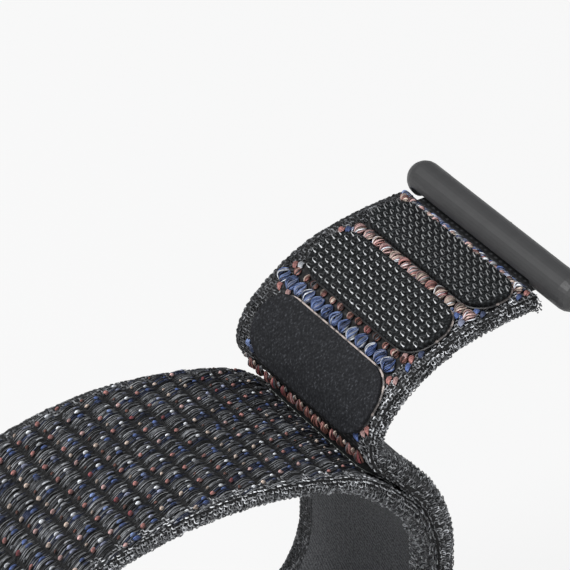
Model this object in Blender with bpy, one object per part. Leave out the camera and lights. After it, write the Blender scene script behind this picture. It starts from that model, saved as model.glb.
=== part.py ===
# Nylon watch strap: a woven hook-and-loop band with its tail peeled open, and a lug bar at each end of it.
# Metres, +Z up, the band's width along Y. The band lies on the floor z = 0 on the flat of its loop.
import math

import bmesh
import bpy
import numpy as np
from mathutils import Matrix, Vector

# Band
bandWidth = 0.022
bandThickness = 0.0016
selvedgeInset = 0.0005
bandCentreY = 0.002  # the band sits off the bars' middle, as the photo shows
ribPitch = 0.0026
ribRise = 0.0005
ribSteps = 4  # stations in one rib
ribRunOn = 0.0036  # how far the ribs go on past the crown

# Loop round the wrist, all radii to the outer face
crownRadius = 0.042
crownHalfAngle = 22.0
shoulderLength = 0.0196
shoulderShares = [(0.23, 19.0), (0.28, 7.0), (0.49, 42.0)]  # (share of its length, turn), from the crown down
footRadius = 0.012
sideHeight = 0.007
rightFlat = 0.005
leftFlat = 0.006
liftRadius = 0.010
liftAngle = 25.0
liftRun = 0.0052
layerGap = 0.0004  # between the two layers that the fold-back lays together

# Peel: the outer layer leaves the loop, turns at the fold and becomes the tail
peelLength = 0.0198
peelShares = [(0.737, 49.0), (0.101, 0.0), (0.162, -49.0)]  # (share of its length, turn in degrees)
tailShares = [(0.116, -29.0), (0.125, -18.0), (0.15, -10.0), (0.208, -17.0), (0.188, -10.0), (0.213, -6.0)]

# Tail panels, hook pads and their weld films
hingeGap = 0.0003
wedgeRun = 0.0009
wedgeShare = 0.22
tailLength = 0.024  # from the fold to the end of the full-thickness band
padShares = [(0.734, 0.246), (0.407, 0.262), (0.014, 0.288)]  # (start, length) of tailLength, top pad first
padWidth = 0.0194
padCornerShare = 0.46  # of the pad's length
padShiftY = -0.0003
padThickness = 0.0005
padChamfer = 0.00012
filmThickness = 0.0002
filmRim = 0.00015
seatGap = 0.00012
foldPadGap = 0.0036  # from the fold hinge back to the pad that lies in the fold
foldPadLength = 0.006

# Lug bars
barRadius = 0.00185
barLength = 0.0274
barRise = 0.0015  # the bar's axis above the band's outer face
barReach = 0.0016  # the bar's axis beyond the end of the full-thickness band
slotWidth = 0.0194
slotCutZ = -0.0002
pivotZ = -0.0012
strapBarRadius = 0.00035
strapBarFit = 0.00003
strapBarSeat = 0.0006
hemThickness = 0.00045
hemClearance = 0.0001
hemEndGap = 0.0003  # between the tongue's edge and the slot's end
hemTurn = 275.0
hemOverlap = 0.0006  # the tongue reaches this far into the band's end
flatX = 0.00125
flatHalf = 0.0095

# Latch in each lug bar
boreRadius = 0.0006
boreZ = 0.00055
boreBottom = -0.0011
flangeRadius = 0.00052
flangeFrom = 0.00042
flangeTo = 0.00078
noseRadius = 0.00036
noseTo = 0.0019
collarFrom = 0.00085
collarTo = 0.0012
collarOuter = 0.00056
collarInner = 0.00042
springRadius = 0.00034
springWire = 0.00006
springTurns = 4
springGap = 0.00004

# Fineness
loopStep = 0.0007
leastStep = 0.00005
mostTurn = 12.0
roundSides = 32
smallSides = 20
wireSides = 6
turnSteps = 12
hemSteps = 20
domeSteps = 6
noseSteps = 4
cornerSteps = 5
sharpAngle = 30.0

colours = {
    "band_weave": ((0.045, 0.047, 0.053, 1.0), 0.9, 0.0),
    "hook_pad": ((0.02, 0.021, 0.024, 1.0), 0.7, 0.0),
    "weld_film": ((0.32, 0.31, 0.31, 1.0), 0.5, 0.0),
    "gunmetal": ((0.11, 0.11, 0.115, 1.0), 0.38, 0.9),
    "steel": ((0.45, 0.45, 0.46, 1.0), 0.3, 1.0),
}


def clearScene():
    for thing in list(bpy.data.objects):
        bpy.data.objects.remove(thing, do_unlink=True)


def materialOf(name, slot):
    colour, rough, metal = colours[slot]
    made = bpy.data.materials.new(name + "_material")
    made.use_nodes = True
    shader = made.node_tree.nodes["Principled BSDF"]
    shader.inputs["Base Color"].default_value = colour
    shader.inputs["Roughness"].default_value = rough
    shader.inputs["Metallic"].default_value = metal
    return made


def addObject(name, verts, faces, slot, hidden=False):
    mesh = bpy.data.meshes.new(name)
    mesh.from_pydata([tuple(v) for v in verts], [], faces)
    work = bmesh.new()
    work.from_mesh(mesh)
    bmesh.ops.recalc_face_normals(work, faces=work.faces)
    work.to_mesh(mesh)
    work.free()
    mesh.shade_smooth()
    mesh.set_sharp_from_angle(angle=math.radians(sharpAngle))
    made = bpy.data.objects.new(name, mesh)
    bpy.context.scene.collection.objects.link(made)
    if hidden:
        made.hide_render = True
        made.display_type = "WIRE"
    else:
        mesh.materials.append(materialOf(name, slot))
    return made


# Puts a piece's origin on the axis it turns or slides on, with the piece left where it is
def seatOn(names, at):
    for name in names:
        thing = bpy.data.objects[name]
        thing.data.transform(Matrix.Translation(-Vector(at)))
        thing.location = at


# A path in the XZ plane is (points, headings, distances). Each run turns evenly over its length.
def walk(start, heading, runs, step):
    points = [np.array(start, float)]
    angle = math.radians(heading)
    headings = [angle]
    distances = [0.0]
    for length, turn in runs:
        count = max(2, math.ceil(length / step - 1e-6), math.ceil(abs(turn) / mostTurn))
        half = math.radians(turn) / count / 2.0
        for _ in range(count):
            angle += half
            points.append(points[-1] + length / count * np.array([math.cos(angle), math.sin(angle)]))
            angle += half
            headings.append(angle)
            distances.append(distances[-1] + length / count)
    return np.array(points), np.array(headings), np.array(distances)


def leftOf(headings):
    return np.stack([-np.sin(headings), np.cos(headings)], axis=-1)


# The piece of a path between two distances, with both ends and the extra stations put in exactly
def cutPath(path, low, high, extra=(), ribs=None):
    points, headings, distances = path
    inside = distances[(distances > low + leastStep) & (distances < high - leastStep)]
    if ribs is not None:
        step = ribPitch / ribSteps
        between = np.arange(math.ceil(ribs[0] / step), ribs[1] / step) * step
        inside = np.concatenate([inside[(inside < ribs[0]) | (inside > ribs[1])], between])
    wanted = np.unique(np.concatenate([[low, high], inside, [e for e in extra if low < e < high]]))
    keep = np.concatenate([[True], np.diff(wanted) > leastStep])
    wanted = wanted[keep]
    xs = np.interp(wanted, distances, points[:, 0])
    zs = np.interp(wanted, distances, points[:, 1])
    return np.stack([xs, zs], axis=-1), np.interp(wanted, distances, headings), wanted


# Sweeps a chamfered rectangle along a path: half widths, top and bottom offsets are given per station
def sweep(name, slot, path, half, top, bottom, chamfer, centreY):
    points, headings, _ = path
    normal = leftOf(headings)
    rings = []
    for i in range(len(points)):
        rise = top[i] - bottom[i]
        edge = min(chamfer, 0.3 * rise)
        section = [
            (-half[i] + edge, top[i]),
            (half[i] - edge, top[i]),
            (half[i], top[i] - edge),
            (half[i], bottom[i] + edge),
            (half[i] - edge, bottom[i]),
            (-half[i] + edge, bottom[i]),
            (-half[i], bottom[i] + edge),
            (-half[i], top[i] - edge),
        ]
        for y, n in section:
            at = points[i] + normal[i] * n
            rings.append((at[0], centreY + y, at[1]))
    return addObject(name, rings, tubeFaces(len(points), 8), slot)


def tubeFaces(rows, sides):
    faces = [list(range(sides))[::-1]]
    for i in range(rows - 1):
        for j in range(sides):
            k = (j + 1) % sides
            faces.append([i * sides + j, i * sides + k, (i + 1) * sides + k, (i + 1) * sides + j])
    faces.append([(rows - 1) * sides + j for j in range(sides)])
    return faces


# A turned piece: (radius, distance along the axis) pairs round an axis, placed by place(along, across, up)
def turned(name, slot, profile, sides, place, hidden=False):
    verts = []
    faces = []
    starts = []
    for radius, along in profile:
        starts.append(len(verts))
        if radius <= 0.0:
            verts.append(place(along, 0.0, 0.0))
            continue
        for k in range(sides):
            angle = 2.0 * math.pi * k / sides
            verts.append(place(along, radius * math.cos(angle), radius * math.sin(angle)))
    closed = profile[0] == profile[-1]
    for i in range(len(profile) - 1):
        a = starts[i]
        b = starts[0] if closed and i == len(profile) - 2 else starts[i + 1]
        for k in range(sides):
            m = (k + 1) % sides
            if profile[i][0] <= 0.0:
                faces.append([a, b + k, b + m])
            elif profile[i + 1][0] <= 0.0:
                faces.append([a + k, a + m, b])
            else:
                faces.append([a + k, a + m, b + m, b + k])
    if closed:
        verts = verts[: starts[-1]]
    return addObject(name, verts, faces, slot, hidden)


def box(name, low, high, place):
    corners = [(x, y, z) for x in (low[0], high[0]) for y in (low[1], high[1]) for z in (low[2], high[2])]
    faces = [[0, 1, 3, 2], [4, 6, 7, 5], [0, 4, 5, 1], [2, 3, 7, 6], [0, 2, 6, 4], [1, 5, 7, 3]]
    return addObject(name, [place(*c) for c in corners], faces, None, hidden=True)


def cutBy(thing, cutter):
    modifier = thing.modifiers.new(cutter.name, "BOOLEAN")
    modifier.operation = "DIFFERENCE"
    modifier.solver = "EXACT"
    modifier.object = cutter


# The frame of a lug bar, from its axis: u runs on along the band's end, w to the band's outer face
def barFrame(point, heading, outerSign):
    along = np.array([math.cos(heading), math.sin(heading)])
    outer = outerSign * np.array([-math.sin(heading), math.cos(heading)])
    axis = point + along * barReach + outer * barRise

    def place(u, y, w):
        at = axis + along * u + outer * w
        return (at[0], y, at[1])

    return place


def scaled(shares, length, sign=1.0):
    return [(share * length, sign * turn) for share, turn in shares]


def bandPath():
    down = scaled(shoulderShares, shoulderLength, -1.0)
    loop = [
        (liftRun, 0.0),
        (liftRadius * math.radians(liftAngle), -liftAngle),
        (leftFlat, 0.0),
        (footRadius * math.pi / 2.0, -90.0),
        (sideHeight + bandThickness + layerGap, 0.0),
        *down[::-1],
        (crownRadius * math.radians(2.0 * crownHalfAngle), -2.0 * crownHalfAngle),
        *down,
        (sideHeight, 0.0),
        (footRadius * math.pi / 2.0, -90.0),
        (rightFlat, 0.0),
        (layerGap / 2.0 * math.pi, 180.0),
        (rightFlat, 0.0),
        ((footRadius + layerGap) * math.pi / 2.0, 90.0),
        (sideHeight, 0.0),
    ]
    runs = loop + scaled(peelShares, peelLength) + scaled(tailShares, tailLength)
    path = walk((0.0, 0.0), 180.0 + liftAngle, runs, loopStep)
    marks = np.cumsum([0.0] + [length for length, _ in runs])
    points, headings, distances = path
    inner = points - leftOf(headings) * bandThickness
    floor = min(points[:, 1].min(), inner[:, 1].min())
    left = points[:, 0].min() - ribRise
    right = points[-1, 0] + barReach + max(noseTo, barRadius)
    points = points - np.array([(left + right) / 2.0, floor])
    return (points, headings, distances), marks, len(loop)


# Thickness share near a hinge line: the band narrows to a wedge there, so that two panels can fold
def wedge(distances, low, high, atLow, atHigh):
    share = np.ones(len(distances))
    if atLow:
        share = np.minimum(share, wedgeShare + (1.0 - wedgeShare) * (distances - low) / wedgeRun)
    if atHigh:
        share = np.minimum(share, wedgeShare + (1.0 - wedgeShare) * (high - distances) / wedgeRun)
    return np.clip(share, wedgeShare, 1.0)


def bandPiece(name, path, low, high, atLow, atHigh, ribs=None):
    stations = cutPath(path, low, high, (low + wedgeRun, high - wedgeRun), ribs)
    distances = stations[2]
    share = wedge(distances, low, high, atLow, atHigh)
    middle = -bandThickness / 2.0
    top = middle + bandThickness / 2.0 * share
    bottom = middle - bandThickness / 2.0 * share
    if ribs is not None:
        ease = np.clip((distances - ribs[0]) / ribPitch, 0.0, 1.0)
        ease = ease * np.clip((ribs[1] - distances) / ribPitch, 0.0, 1.0)
        top = top + ease * ribRise / 2.0 * (1.0 - np.cos(2.0 * math.pi * distances / ribPitch))
    half = np.full(len(distances), bandWidth / 2.0)
    return sweep(name, "band_weave", stations, half, top, bottom, selvedgeInset, bandCentreY)


# A pad or film follows the band: rounded corners come from the half width at each station
def padPiece(name, slot, path, low, high, width, corner, bottom, thickness, chamfer):
    ends = [corner * (1.0 - math.cos(math.pi / 2.0 * k / cornerSteps)) for k in range(cornerSteps + 1)]
    extra = [low + e for e in ends] + [high - e for e in ends]
    stations = cutPath(path, low, high, extra)
    distances = stations[2]
    inFromEnd = np.clip(corner - np.minimum(distances - low, high - distances), 0.0, corner)
    half = width / 2.0 - corner + np.sqrt(np.maximum(corner**2 - inFromEnd**2, 0.0))
    lows = np.full(len(distances), bottom)
    return sweep(name, slot, stations, half, lows + thickness, lows, chamfer, bandCentreY + padShiftY)


# The thin woven tongue that leaves the band's end and rolls round the strap bar
def hemRoll(name, place, host):
    middle = strapBarRadius + hemClearance + hemThickness / 2.0
    line = [(-barReach - hemOverlap, -middle), (-barReach / 2.0, -middle), (0.0, -middle)]
    for k in range(1, hemSteps + 1):
        angle = math.radians(-90.0 + hemTurn * k / hemSteps)
        line.append((middle * math.cos(angle), middle * math.sin(angle)))
    half = slotWidth / 2.0 - hemEndGap
    verts = []
    for i, (u, w) in enumerate(line):
        before = line[max(i - 1, 0)]
        after = line[min(i + 1, len(line) - 1)]
        run = np.array([after[0] - before[0], after[1] - before[1]])
        if i == 2:
            run = np.array([1.0, 0.0])
        run = run / np.linalg.norm(run)
        across = np.array([-run[1], run[0]]) * hemThickness / 2.0
        for side in (1.0, -1.0):
            for y in (-half, half):
                verts.append(place(u + side * across[0], bandCentreY + y, pivotZ + w + side * across[1]))
    order = [0, 1, 3, 2]
    rings = [verts[4 * i + j] for i in range(len(line)) for j in order]
    roll = addObject(name, rings, tubeFaces(len(line), 4), None, hidden=True)
    modifier = host.modifiers.new(name, "BOOLEAN")
    modifier.operation = "UNION"
    modifier.solver = "EXACT"
    modifier.object = roll


# One lug bar with its strap bar and spring latch. place() puts (u, y, w) measured from the bar's axis.
def lugBar(number, place):
    ends = []
    for k in range(domeSteps + 1):
        angle = math.pi / 2.0 * k / domeSteps
        ends.append((barRadius * math.sin(angle), barLength / 2.0 - barRadius * (1.0 - math.cos(angle))))
    profile = [(r, -y) for r, y in ends] + [(r, y) for r, y in reversed(ends)]
    bar = turned(f"lug_bar_{number}", "gunmetal", profile, roundSides, lambda a, b, c: place(b, a, c))
    reach = 2.0 * barRadius
    slotLow = bandCentreY - slotWidth / 2.0
    slotHigh = bandCentreY + slotWidth / 2.0
    slot = box(f"slot_cutter_{number}", (-reach, slotLow, -reach), (reach, slotHigh, slotCutZ), place)
    flat = box(f"flat_cutter_{number}", (flatX, -flatHalf, -reach), (reach, flatHalf, reach), place)
    bore = turned(
        f"bore_cutter_{number}",
        None,
        [(0.0, boreBottom), (boreRadius, boreBottom), (boreRadius, reach), (0.0, reach)],
        smallSides,
        lambda a, b, c: place(a, b, boreZ + c),
        hidden=True,
    )
    holeRadius = strapBarRadius + strapBarFit
    holeLow = slotLow - strapBarSeat
    holeHigh = slotHigh + strapBarSeat
    holes = turned(
        f"hole_cutter_{number}",
        None,
        [(0.0, holeLow), (holeRadius, holeLow), (holeRadius, holeHigh), (0.0, holeHigh)],
        smallSides,
        lambda a, b, c: place(b, a, pivotZ + c),
        hidden=True,
    )
    for cutter in (slot, flat, bore, holes):
        cutBy(bar, cutter)
    low = holeLow + strapBarFit
    high = holeHigh - strapBarFit
    rod = [(0.0, low), (strapBarRadius, low), (strapBarRadius, high), (0.0, high)]
    turned(f"strap_bar_{number}", "steel", rod, smallSides, lambda a, b, c: place(b, a, pivotZ + c))

    def inBore(along, across, up):
        return place(along, across, boreZ + up)

    dome = noseTo - noseRadius
    pin = [(0.0, flangeFrom), (flangeRadius, flangeFrom), (flangeRadius, flangeTo), (noseRadius, flangeTo)]
    for k in range(noseSteps):
        angle = math.pi / 2.0 * k / noseSteps
        pin.append((noseRadius * math.cos(angle), dome + noseRadius * math.sin(angle)))
    pin.append((0.0, noseTo))
    turned(f"latch_pin_{number}", "gunmetal", pin, smallSides, inBore)
    ring = [(collarInner, collarFrom), (collarOuter, collarFrom), (collarOuter, collarTo)]
    ring = ring + [(collarInner, collarTo), ring[0]]
    turned(f"latch_collar_{number}", "steel", ring, smallSides, inBore)
    latchSpring(number, inBore)
    pivot = place(0.0, 0.0, pivotZ)
    seatOn([f"lug_bar_{number}", f"strap_bar_{number}", f"latch_collar_{number}"], pivot)
    seatOn([f"latch_pin_{number}", f"latch_spring_{number}"], inBore(0.0, 0.0, 0.0))
    print(f"lug {number} turns about", np.round(pivot, 6))
    print(f"lug {number} flat face at", np.round(place(flatX, flatHalf / 2.0, boreZ), 6))
    print(f"latch {number} slides from", np.round(inBore(boreBottom, 0.0, 0.0), 6))
    print(f"latch {number} slides to", np.round(inBore(noseTo, 0.0, 0.0), 6))


def latchSpring(number, place):
    low = boreBottom + springGap + springWire
    high = flangeFrom - springGap - springWire
    steps = springTurns * turnSteps
    turns = np.linspace(0.0, 2.0 * math.pi * springTurns, steps + 1)
    along = np.linspace(low, high, steps + 1)
    verts = []
    for angle, u in zip(turns, along):
        for k in range(wireSides):
            tip = 2.0 * math.pi * k / wireSides
            radius = springRadius + springWire * math.cos(tip)
            across = radius * math.cos(angle)
            up = radius * math.sin(angle)
            verts.append(place(u + springWire * math.sin(tip), across, up))
    addObject(f"latch_spring_{number}", verts, tubeFaces(steps + 1, wireSides), "steel")


def build():
    clearScene()
    path, marks, loopRuns = bandPath()
    points, headings, distances = path
    fold = marks[loopRuns + len(peelShares)]
    spans = [(fold + start * tailLength, length * tailLength) for start, length in padShares]
    hinges = [fold]
    for above, below in ((1, 2), (0, 1)):
        hinges.append((sum(spans[below]) + spans[above][0]) / 2.0)
    spans.append((fold - foldPadGap - foldPadLength, foldPadLength))
    ribs = ((marks[3] + marks[4]) / 2.0, marks[9] + ribRunOn)  # from the middle of the left foot
    band = bandPiece("band_loop", path, 0.0, hinges[0] - hingeGap / 2.0, False, True, ribs)
    lows = [h + hingeGap / 2.0 for h in hinges]
    highs = [h - hingeGap / 2.0 for h in hinges[1:]] + [marks[-1]]
    panels = ("tail_panel_low", "tail_panel_mid", "tail_panel_top")
    for name, low, high in zip(panels, lows, highs):
        tail = bandPiece(name, path, low, high, True, name != panels[-1])
    padBottom = seatGap + filmThickness + seatGap
    for number, (low, length) in enumerate(spans, 1):
        high = low + length
        corner = padCornerShare * length
        pad = (low, high, padWidth, corner, padBottom, padThickness, padChamfer)
        padPiece(f"hook_pad_{number}", "hook_pad", path, *pad)
        film = (low - filmRim, high + filmRim, padWidth + 2.0 * filmRim, corner + filmRim)
        padPiece(f"weld_film_{number}", "weld_film", path, *film, seatGap, filmThickness, filmThickness / 3.0)
    place1 = barFrame(points[-1], headings[-1], 1.0)
    place2 = barFrame(points[0], headings[0] + math.pi, -1.0)
    hemRoll("hem_roll_1", place1, tail)
    hemRoll("hem_roll_2", place2, band)
    for number, hinge in zip((3, 2, 1), hinges):
        mean = [np.interp(hinge, distances, points[:, k]) for k in (0, 1)]
        heading = np.interp(hinge, distances, headings)
        at = mean - leftOf(heading) * bandThickness / 2.0
        line = (at[0], bandCentreY, at[1])
        seatOn([panels[3 - number], f"hook_pad_{number}", f"weld_film_{number}"], line)
        print(panels[3 - number], "bends about", np.round(line, 6))
    lugBar(1, place1)
    lugBar(2, place2)


build()
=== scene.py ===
import math

import bpy
import numpy as np
from mathutils import Matrix, Vector


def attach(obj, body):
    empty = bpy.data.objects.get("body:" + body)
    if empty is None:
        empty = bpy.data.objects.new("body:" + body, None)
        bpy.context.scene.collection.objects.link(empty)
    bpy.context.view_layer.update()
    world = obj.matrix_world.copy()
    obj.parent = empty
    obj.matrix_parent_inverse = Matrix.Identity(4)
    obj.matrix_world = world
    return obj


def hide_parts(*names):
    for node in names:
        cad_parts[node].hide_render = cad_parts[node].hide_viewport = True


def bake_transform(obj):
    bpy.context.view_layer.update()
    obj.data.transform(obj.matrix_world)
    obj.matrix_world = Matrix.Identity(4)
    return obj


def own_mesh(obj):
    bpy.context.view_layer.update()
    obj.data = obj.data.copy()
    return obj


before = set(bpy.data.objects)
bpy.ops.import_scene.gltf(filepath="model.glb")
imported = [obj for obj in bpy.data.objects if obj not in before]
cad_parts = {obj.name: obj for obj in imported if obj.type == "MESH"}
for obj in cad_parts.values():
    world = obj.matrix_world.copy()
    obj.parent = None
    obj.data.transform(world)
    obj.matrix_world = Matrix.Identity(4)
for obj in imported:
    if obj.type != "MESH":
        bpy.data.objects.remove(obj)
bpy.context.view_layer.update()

mm = 0.001
print("frame loaded")

# The band's outer face as in the solids, walked in runs of (length, turn). Shares are (share of a length,
# turn). Lengths are in millimetres and angles in degrees.
band = {
    "width": 22.0,
    "thickness": 1.6,
    "centreY": 2.0,
    "crownRadius": 42.0,
    "crownHalfAngle": 22.0,
    "shoulderLength": 19.6,
    "shoulderShares": [(0.23, 19.0), (0.28, 7.0), (0.49, 42.0)],
    "footRadius": 12.0,
    "sideHeight": 7.0,
    "rightFlat": 5.0,
    "leftFlat": 6.0,
    "liftRadius": 10.0,
    "liftAngle": 25.0,
    "liftRun": 5.2,
    "layerGap": 0.4,
    "peelLength": 19.8,
    "peelShares": [(0.737, 49.0), (0.101, 0.0), (0.162, -49.0)],
    "tailLength": 24.0,
    "tailShares": [
        (0.116, -29.0), (0.125, -18.0), (0.15, -10.0), (0.208, -17.0), (0.188, -10.0), (0.213, -6.0),
    ],
    "padShares": [(0.734, 0.246), (0.407, 0.262), (0.014, 0.288)],
    "foldPadGap": 3.6,
    "foldPadLength": 6.0,
    "barRise": 1.5,
    "barReach": 1.6,
    "pinReach": 1.9,
    "ribPitch": 2.6,
    "ribRise": 0.5,
    "ribRunOn": 3.6,
    "walkPoints": 24001,
}


# Walks the runs with even turning: each step adds its length along the mean heading
def walkBand():
    b = band
    down = [(share * b["shoulderLength"], -turn) for share, turn in b["shoulderShares"]]
    quarter = math.pi / 2.0
    loop = [
        (b["liftRun"], 0.0),
        (b["liftRadius"] * math.radians(b["liftAngle"]), -b["liftAngle"]),
        (b["leftFlat"], 0.0),
        (b["footRadius"] * quarter, -90.0),
        (b["sideHeight"] + b["thickness"] + b["layerGap"], 0.0),
        *down[::-1],
        (b["crownRadius"] * math.radians(2.0 * b["crownHalfAngle"]), -2.0 * b["crownHalfAngle"]),
        *down,
        (b["sideHeight"], 0.0),
        (b["footRadius"] * quarter, -90.0),
        (b["rightFlat"], 0.0),
        (b["layerGap"] / 2.0 * math.pi, 180.0),
        (b["rightFlat"], 0.0),
        ((b["footRadius"] + b["layerGap"]) * quarter, 90.0),
        (b["sideHeight"], 0.0),
    ]
    peel = [(share * b["peelLength"], turn) for share, turn in b["peelShares"]]
    tail = [(share * b["tailLength"], turn) for share, turn in b["tailShares"]]
    runs = loop + peel + tail
    marks = np.cumsum([0.0] + [length for length, _ in runs])
    angles = np.cumsum([math.radians(180.0 + b["liftAngle"])] + [math.radians(turn) for _, turn in runs])
    at = np.linspace(0.0, marks[-1], b["walkPoints"])
    heading = np.interp(at, marks, angles)
    step = np.diff(at)
    mean = (heading[1:] + heading[:-1]) / 2.0
    x = np.concatenate([[0.0], np.cumsum(step * np.cos(mean))])
    z = np.concatenate([[0.0], np.cumsum(step * np.sin(mean))])
    innerZ = z - np.cos(heading) * b["thickness"]
    left = x.min() - b["ribRise"]
    right = x[-1] + b["barReach"] + b["pinReach"]
    x = x - (left + right) / 2.0
    z = z - min(z.min(), innerZ.min())
    return at, x, z, heading, marks, len(loop) + len(peel)


lineAt, lineX, lineZ, lineHeading, marks, foldRun = walkBand()
bandLength = float(marks[-1])
foldAt = float(marks[foldRun])
footMiddle = float(marks[3] + marks[4]) / 2.0  # of the left foot
crownEnd = float(marks[9])
ribRange = (footMiddle, crownEnd + band["ribRunOn"])

# Each pad's (start, length) along the band: three on the tail, counted from the bar, and one before the fold
tailLength = band["tailLength"]
padSpans = [(foldAt + start * tailLength, share * tailLength) for start, share in band["padShares"]]
padSpans.append((foldAt - band["foldPadGap"] - band["foldPadLength"], band["foldPadLength"]))
padLow = [low for low, _ in padSpans]
padHigh = [low + length for low, length in padSpans]
padMiddle = [low + length / 2.0 for low, length in padSpans]


# Takes (s, y, n), along, across and off the band's outer face in millimetres, to metres in the model's
# frame: the point of the face at s, moved n along its normal
def onBand(flat):
    s, y, n = flat[..., 0], flat[..., 1], flat[..., 2]
    h = np.interp(s, lineAt, lineHeading)
    past = s - np.clip(s, 0.0, bandLength)  # beyond either end it runs straight on
    x = np.interp(s, lineAt, lineX) + past * np.cos(h)
    z = np.interp(s, lineAt, lineZ) + past * np.sin(h)
    return np.stack([x - np.sin(h) * n, band["centreY"] + y, z + np.cos(h) * n], axis=-1) * mm


# Joins arrays along a new last axis, each spread to their common shape
def stacked(*parts):
    return np.stack(np.broadcast_arrays(*parts), axis=-1)


# How far each edge swells outwards and upwards, at places along the band, and how far in the swell starts
edgeSwell = {
    "width": 2.4,
    "far": {
        "s": [50.0, 66.0, 80.0, 89.0, 190.0, 197.0, 204.0, 210.0, 215.0, 222.0],
        "out": [0.0, 0.4, 0.35, 0.0, 0.0, 1.3, 0.85, 0.6, 0.35, 0.3],
        "up": [0.0, 0.1, 0.1, 0.0, 0.0, 0.35, 0.3, 0.25, 0.2, 0.15],
    },
    "near": {
        "s": [95.0, 101.0, 107.0, 115.0, 171.0, 177.0, 183.0, 189.0, 194.0, 197.0],
        "out": [0.0, 0.1, 0.1, 0.0, 0.0, 0.1, 0.25, 0.3, 0.2, 0.0],
        "up": [0.0, 0.3, 0.3, 0.0, 0.0, 0.3, 0.75, 0.9, 0.5, 0.0],
    },
}


# Adds the swell, rising evenly from nothing at its width inside the edge to its whole at the edge. The lift
# fades to nothing at the inner face.
def swollen(flat):
    width = edgeSwell["width"]
    for edgeName, sign in (("far", 1.0), ("near", -1.0)):
        swell = edgeSwell[edgeName]
        share = np.clip((sign * flat[..., 1] - (band["width"] / 2.0 - width)) / width, 0.0, 1.0)
        out = share * np.interp(flat[..., 0], swell["s"], swell["out"])
        up = share * np.interp(flat[..., 0], swell["s"], swell["up"])
        up = up * np.clip((flat[..., 2] + band["thickness"]) / band["thickness"], 0.0, 1.0)
        flat = flat + stacked(0.0, sign * out, up)
    return flat


# Height of the woven ribs: half a rise times one less the cosine of a turn each pitch, eased over a pitch at
# both ends
def ribHeight(s):
    p = band["ribPitch"]
    ease = np.clip((s - ribRange[0]) / p, 0.0, 1.0) * np.clip((ribRange[1] - s) / p, 0.0, 1.0)
    return ease * band["ribRise"] / 2.0 * (1.0 - np.cos(2.0 * math.pi * s / p))


# Stretches of the band: each rides on one body, or, where the tail folds, lists the two bodies and the ends
# of the bend between them
zones = {
    "loop": {"low": 0.0, "high": padMiddle[3], "ride": "band"},
    "fold": {
        "low": padMiddle[3],
        "high": padMiddle[2],
        "blend": ("band", "tail_low"),
        "bend": (foldAt - 0.9, foldAt + 0.4),
    },
    "low": {
        "low": padMiddle[2],
        "high": padMiddle[1],
        "blend": ("tail_low", "tail_mid"),
        "bend": (padHigh[2], padLow[1]),
    },
    "high": {
        "low": padMiddle[1],
        "high": padMiddle[0],
        "blend": ("tail_mid", "tail_top"),
        "bend": (padHigh[1], padLow[0]),
    },
    "end": {"low": padMiddle[0], "high": bandLength, "ride": "tail_top"},
}
padBodies = ["tail_top", "tail_mid", "tail_low", "band"]


# A piece of a stretch rides on its body, or else has its place baked into its mesh
def settle(obj, zoneName):
    zone = zones[zoneName]
    if "ride" in zone:
        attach(obj, zone["ride"])
    else:
        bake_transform(obj)


# Puts whole arrays into a mesh: points, a list of (count, corners) face arrays, and named point attributes
def meshOf(name, verts, faceArrays, material, attributes=None):
    mesh = bpy.data.meshes.new(name)
    verts = np.asarray(verts, np.float32).reshape(-1, 3)
    mesh.vertices.add(len(verts))
    mesh.vertices.foreach_set("co", verts.ravel())
    loops = np.concatenate([np.asarray(f, np.int32).ravel() for f in faceArrays])
    sizes = np.concatenate([np.full(len(f), np.asarray(f).shape[1], np.int32) for f in faceArrays])
    mesh.loops.add(len(loops))
    mesh.loops.foreach_set("vertex_index", loops)
    mesh.polygons.add(len(sizes))
    mesh.polygons.foreach_set("loop_start", np.concatenate([[0], np.cumsum(sizes)[:-1]]).astype(np.int32))
    mesh.polygons.foreach_set("use_smooth", np.ones(len(sizes), bool))
    for key, values in (attributes or {}).items():
        values = np.asarray(values, np.float32).reshape(len(verts), -1)
        if values.shape[1] == 4:
            mesh.attributes.new(key, "FLOAT_COLOR", "POINT").data.foreach_set("color", values.ravel())
        else:
            mesh.attributes.new(key, "FLOAT_VECTOR", "POINT").data.foreach_set("vector", values.ravel())
    mesh.update(calc_edges=True)
    mesh.materials.append(material)
    obj = bpy.data.objects.new(name, mesh)
    bpy.context.scene.collection.objects.link(obj)
    return obj


# Faces of a grid of rows by columns that wraps round its columns, closed by one face at each end
def gridFaces(rows, columns):
    i = np.arange(rows - 1)[:, None]
    j = np.arange(columns)[None, :]
    k = (j + 1) % columns
    low = i * columns
    high = (i + 1) * columns
    quads = stacked(low + j, low + k, high + k, high + j).reshape(-1, 4)
    ring = np.arange(columns)
    return [quads, ring[::-1][None, :], ((rows - 1) * columns + ring)[None, :]]


# The same faces for count copies, each with so many points
def manyFaces(faceArrays, count, each):
    shift = (np.arange(count) * each)[:, None, None]
    return [(f[None] + shift).reshape(-1, f.shape[1]) for f in faceArrays]


# Tubes round many centre lines at once: at each point a ring of radius r in the plane across the line
def tubes(lines, radius, sides):
    along = np.gradient(lines, axis=1)
    along = along / np.linalg.norm(along, axis=-1, keepdims=True)
    side = np.cross(along, np.array([0.0, 0.0, 1.0]))
    side = side / np.maximum(np.linalg.norm(side, axis=-1, keepdims=True), 1e-6)
    other = np.cross(side, along)
    around = np.arange(sides) * 2.0 * math.pi / sides
    c = np.cos(around)[None, None, :, None]
    d = np.sin(around)[None, None, :, None]
    r = np.broadcast_to(radius, lines.shape[:2])[:, :, None, None]
    return lines[:, :, None] + r * (c * side[:, :, None] + d * other[:, :, None])


# How fast the painted shade darkens a tube towards its underside, and how far its yarn's pattern moves on
# from tube to tube
paintedShadeAndStep = {"power": 1.6, "step": 0.37}
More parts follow.
